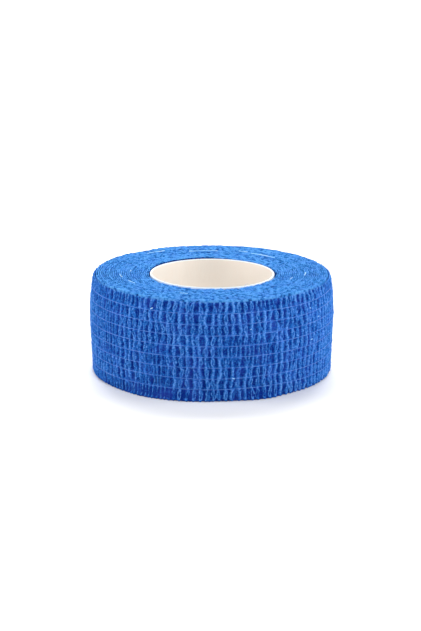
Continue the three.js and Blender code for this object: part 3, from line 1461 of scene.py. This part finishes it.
@dataclass(frozen=True)
class StrayThreads(Strands):
    """Pale threads pulled out of the cut edges, and white flecks on the side."""

    streaks: tuple[Streak, ...] = (
        Streak(119, 131, 25.1 * MM),
        Streak(86, 105, 22.3 * MM),
        Streak(66, 72, 23.2 * MM),
        Streak(42, 62, 22.1 * MM),
        Streak(178, 181, 20.4 * MM),
        Streak(189, 196, 23.4 * MM),
        Streak(206, 214, 23.0 * MM),
        Streak(251, 256, 23.8 * MM),
        Streak(350, 358, 23.9 * MM),
        Streak(338, 343, 21.4 * MM),
    )
    spacing: float = 0.5 * MM
    flecks: int = 16
    fleck_length: float = 0.6 * MM
    fleck_lengths: Span = (0.4, 1.2)  # in that length
    fleck_places: Span = (0.06, 0.97)  # shares of the way up the side
    fleck_lean: float = 0.6  # radians
    fleck_points: int = 4
    seed: int = 12

    NAME = "stray_threads"
    RADIUS = 0.10 * MM
    SIDES = 4
    SHIVER = (0.5 * MM, 0.5 * MM, 0.12 * MM)
    SHIVER_CELL = 2.2 * MM

    def lines(self) -> list[np.ndarray]:
        """Gives one line along each streak and each fleck.

        Returns:
            The lines, as rows of points.
        """
        rng = np.random.default_rng(self.seed)
        streaks = [self._streak(streak) for streak in self.streaks]
        return streaks + [self._fleck(rng) for _ in range(self.flecks)]

    def _streak(self, streak: Streak) -> np.ndarray:
        """Lays one streak on the upper face.

        Args:
            streak: Where it lies.

        Returns:
            Its points.
        """
        form, radius = self.form, streak.radius
        start, end = math.radians(streak.start), math.radians(streak.end)
        angle = np.linspace(start, end, 2 + int((end - start) * radius / self.spacing))
        rise = form.width + form.crowned(angle) * radius / form.side[0][0] + streak.proud
        return polar(radius, angle, rise)

    def _fleck(self, rng: np.random.Generator) -> np.ndarray:
        """Drops one fleck on the side.

        Args:
            rng: The source of random numbers.

        Returns:
            Its points.
        """
        form, outline = self.form, self.outer.outline
        angle, across = rng.uniform(0, math.tau), rng.uniform(*self.fleck_places) * outline.length
        lean = rng.uniform(-self.fleck_lean, self.fleck_lean)
        length = self.fleck_length * rng.uniform(*self.fleck_lengths)
        along = np.linspace(-0.5, 0.5, self.fleck_points) * length
        spot, _ = outline.at(across + along * math.sin(lean))
        radius = spot[:, 0] + form.grown(((angle - form.end_azimuth) / math.tau) % 1)
        return polar(radius, angle + along * math.cos(lean) / radius, spot[:, 1])


@dataclass(frozen=True)
class LooseFibres:
    """Short fibres of the web that stand off the cloth's face and edges."""

    cloths: tuple[bpy.types.Object, ...]
    name: str = "loose_fibres"
    density: float = 0.85e6  # to the square metre, where the fuzz is thickest
    seed: int = 4
    length: float = 0.9 * MM
    sizes: Span = (0.5, 1.5)
    bend: Span = (0.5, 0.2)  # along and aside, in lengths
    arch: float = 0.22 * MM
    arch_end: float = 0.3  # how much of the arch there is at the tip
    lean: float = 0.35  # radians
    radius: float = 0.013 * MM
    steps: int = 3
    sides: int = 3

    def build(self, material: bpy.types.Material) -> bpy.types.Object:
        """Scatters one arched fibre over the cloths with Geometry Nodes.

        Args:
            material: Its finish.

        Returns:
            The piece.
        """
        maker = Maker(self.name)
        density = maker.take("Density", self.density)
        seed = maker.take("Seed", self.seed)
        length = maker.take("Length", self.length)
        joined = maker.tree.nodes.new("GeometryNodeJoinGeometry")
        for number, cloth in enumerate(self.cloths):
            source = maker.take(f"Cloth {number + 1}", cloth)
            geometry = maker.node("GeometryNodeObjectInfo", {}, {"Object": source}, "Geometry")
            maker.tree.links.new(geometry.socket, joined.inputs[0])
        density = density * maker.carried(FUZZ)
        inputs = {"Mesh": Value(maker, joined.outputs[0]), "Density": density, "Seed": seed}
        points = maker.node("GeometryNodeDistributePointsOnFaces", {}, inputs)
        upright = Value(maker, points.socket.node.outputs["Rotation"])

        along, aside = self.bend
        middle = maker.vector(length * along, length * aside, self.arch * 2)
        tip = maker.vector(length, 0.0, self.arch * self.arch_end)
        inputs = {"Start": (0, 0, 0), "Middle": middle, "End": tip, "Resolution": self.steps}
        curve = maker.node("GeometryNodeCurveQuadraticBezier", {}, inputs)
        fibre = maker.swept(curve, maker.ring(self.sides, self.radius))

        lean = self.lean
        inputs = {"Min": (-lean, -lean, 0), "Max": (lean, lean, math.tau), "Seed": seed}
        spin = maker.node("FunctionNodeRandomValue", {"data_type": "FLOAT_VECTOR"}, inputs)
        spun = maker.node("FunctionNodeEulerToRotation", {}, {0: spin})
        inputs = {"Rotation": upright, "Rotate By": spun}
        turned = maker.node("FunctionNodeRotateRotation", {"rotation_space": "LOCAL"}, inputs)
        small, large = self.sizes
        size = maker.node("FunctionNodeRandomValue", {}, {2: small, 3: large, "Seed": seed}, 1)
        inputs = {"Points": points, "Instance": fibre, "Rotation": turned, "Scale": size}
        scattered = maker.node("GeometryNodeInstanceOnPoints", {}, inputs)
        real = maker.node("GeometryNodeRealizeInstances", {}, {0: scattered})
        x, y, z = maker.parts(maker.place())
        lifted = maker.moved(real, Position=maker.vector(x, y, z.at_least(self.radius)))
        made = maker.piece(lifted, material)
        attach(made, "root")
        return made


@dataclass(frozen=True)
class CoreTube:
    """The paper tube that the strip is wound on, with rounded cut rims."""

    form: RollForm
    name: str = "core_paper_tube"
    columns: int = 288
    wall_rows: int = 14
    corner_rows: int = 5
    loose: float = 0.25 * MM  # how much less its radius is than the cloth's seat
    wall: float = 0.45 * MM
    edge: float = 0.2 * MM
    out_of_round: float = 0.05 * MM
    bent: tuple[float, float, int] = (0.8, 0.4, 5)  # its phase, and a finer wave's share and count
    sunk: float = -0.05 * MM  # how far its upper rim lies below the cloth's cut width
    tilt: float = 0.2 * MM  # and how much higher it is on the side that the roll leans to
    rim_share: Span = (0.7, 0.3)  # of a rounded edge: how far up, and from where, it looks cut

    @property
    def outer(self) -> float:
        """Its outside radius."""
        return self.form.core_radius - self.loose

    @property
    def high(self) -> float:
        """The height at which its upper rim begins to round off."""
        return self.form.width - self.sunk - self.edge

    def _section(self) -> np.ndarray:
        """Lays out the tube's closed section, from its inner foot round.

        Returns:
            The section's (radius, rise) rows.
        """
        outer, edge = self.outer, self.edge
        inner = outer - self.wall
        low, high = edge, self.high

        def corner(radius: float, rise: float, start: float) -> list[Span]:
            """Rounds one corner."""
            turns = np.linspace(start, start + math.pi / 2, self.corner_rows)
            return [(radius + edge * math.cos(t), rise + edge * math.sin(t)) for t in turns]

        def wall(radius: float, start: float, end: float) -> list[Span]:
            """Runs up or down one wall."""
            return [(radius, z) for z in np.linspace(start, end, self.wall_rows)[1:-1]]

        section = corner(inner + edge, low, math.pi) + corner(outer - edge, low, -math.pi / 2)
        section += wall(outer, low, high) + corner(outer - edge, high, 0)
        section += corner(inner + edge, high, math.pi / 2) + wall(inner, high, low)
        return np.array(section)

    def mesh(self) -> bpy.types.Mesh:
        """Turns the tube's section about the axis.

        Returns:
            The mesh, which carries where its cut rims are.
        """
        form, edge = self.form, self.edge
        section = self._section()
        place, rise = section.T
        angle = np.linspace(0, math.tau, self.columns, endpoint=False)[:, None]
        phase, share, count = self.bent
        bent = self.out_of_round * (np.cos(2 * angle + phase) + share * np.sin(count * angle))
        leaning = self.tilt * np.cos(angle - form.tilt_azimuth) * eased(rise / form.width)
        points = polar(place + bent, angle, rise + leaning)
        points[..., 0] += form.core_shift
        steps = np.linalg.norm(np.diff(section, axis=0, append=section[:1]), axis=1)
        around = np.arange(self.columns + 1) * math.tau * (self.outer - self.wall) / self.columns
        mesh = grid_mesh(self.name, points, around, np.concatenate([[0], np.cumsum(steps)]), True)
        below, above = self.rim_share
        rim = (rise < edge * below) | (rise > self.high + edge * above)
        rim = rim | (place > self.outer - edge)
        carry(mesh, CREST_AND_SHADE, np.broadcast_to(rim.astype(float), points.shape[:2]))
        return mesh

    def build(self, material: bpy.types.Material) -> bpy.types.Object:
        """Makes the piece and hides the part that it stands for.

        Args:
            material: Its finish.

        Returns:
            The piece.
        """
        made = shown(self.mesh(), material)
        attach(made, "root")
        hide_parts("core_tube")
        return made


# ---------------------------------------------------------------- the studio


@dataclass(frozen=True)
class Lamp:
    """One soft square light, aimed at the roll."""

    name: str
    place: Colour
    size: float
    power: float

    def build(self, target: Colour) -> None:
        """Hangs the light and aims it.

        Args:
            target: What it points at.
        """
        light = bpy.data.lights.new(self.name, "AREA")
        light.size = self.size
        light.energy = self.power
        made = bpy.data.objects.new(self.name, light)
        made.location = self.place
        aim = Vector(target) - Vector(self.place)
        made.rotation_euler = aim.to_track_quat("-Z", "Y").to_euler()
        bpy.context.scene.collection.objects.link(made)


@dataclass(frozen=True)
class Studio:
    """The white floor, the soft light and the camera."""

    floor_size: float = 6.0
    world: float = 0.18
    world_colour: Colour = (0.98, 0.99, 1.0)
    target: Colour = (0.0, 0.0, 0.0125)
    lamps: tuple[Lamp, ...] = (
        Lamp("overhead", (0.0, 0.1, 1.2), 1.0, 2.0),
        Lamp("back", (0.0, 0.9, 0.95), 0.9, 22.0),
        Lamp("left", (-0.9, -0.05, 0.32), 0.5, 5.6),
        Lamp("right", (0.9, -0.05, 0.28), 0.5, 4.6),
        Lamp("front", (0.32, -1.05, 0.8), 0.7, 9.2),
    )
    camera_place: Colour = (-0.0002, -0.7295, 0.2107)
    camera_tilt: float = math.radians(15.1)
    lens: float = 169.2
    sensor: float = 36
    nearest: float = 0.01  # what the camera still sees

    def build_floor(self, material: bpy.types.Material) -> bpy.types.Object:
        """Lays the floor.

        Args:
            material: Its finish.

        Returns:
            The floor.
        """
        half = self.floor_size / 2
        mesh = bpy.data.meshes.new("floor")
        corners = [(-half, -half, 0), (half, -half, 0), (half, half, 0), (-half, half, 0)]
        mesh.from_pydata(corners, [], [(0, 1, 2, 3)])
        made = shown(mesh, material)
        return made

    def build_light(self) -> None:
        """Sets the even light from all round, the lamps and the view transform."""
        scene = bpy.context.scene
        world = bpy.data.worlds.new("studio")
        world.use_nodes = True
        background = world.node_tree.nodes["Background"]
        background.inputs["Color"].default_value = (*self.world_colour, 1)
        background.inputs["Strength"].default_value = self.world
        scene.world = world
        scene.view_settings.view_transform = "Standard"
        for lamp in self.lamps:
            lamp.build(self.target)

    def build_camera(self) -> None:
        """Sets the camera up."""
        data = bpy.data.cameras.new("camera")
        data.lens = self.lens
        data.sensor_width = self.sensor
        data.clip_start = self.nearest
        made = bpy.data.objects.new("camera", data)
        made.location = self.camera_place
        made.rotation_euler = (math.pi / 2 - self.camera_tilt, 0, 0)
        bpy.context.scene.collection.objects.link(made)
        bpy.context.scene.camera = made


def triangles(piece: bpy.types.Object) -> int:
    """Counts a piece's triangles."""
    piece.data.calc_loop_triangles()
    return len(piece.data.loop_triangles)


def main() -> None:
    """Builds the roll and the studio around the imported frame."""
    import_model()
    low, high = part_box("core_tube")
    form = RollForm(width=high.z - low.z, core_radius=(high.x - low.x) / 2)
    studio = Studio()
    studio.build_camera()

    outer = OuterTurn(form)
    face = outer.build(ClothFinish().material())
    inner = InnerTurns(form).build(CUT_EDGE.material())
    pieces = [
        CoreTube(form).build(PaperFinish().material()),
        inner,
        face,
        ElasticThreads(form, outer).build(ThreadFinish().material()),
        StrayThreads(form, outer).build(PALE_STRAYS.material()),
        LooseFibres((face, inner)).build(FibreFinish().material()),
    ]
    for piece in pieces:
        LOG.info("%s: %d triangles", piece.name, triangles(piece))

    studio.build_floor(FloorFinish().material())
    studio.build_light()


if __name__ == "__main__":
    logging.basicConfig(level=logging.INFO, format="%(message)s")
    main()
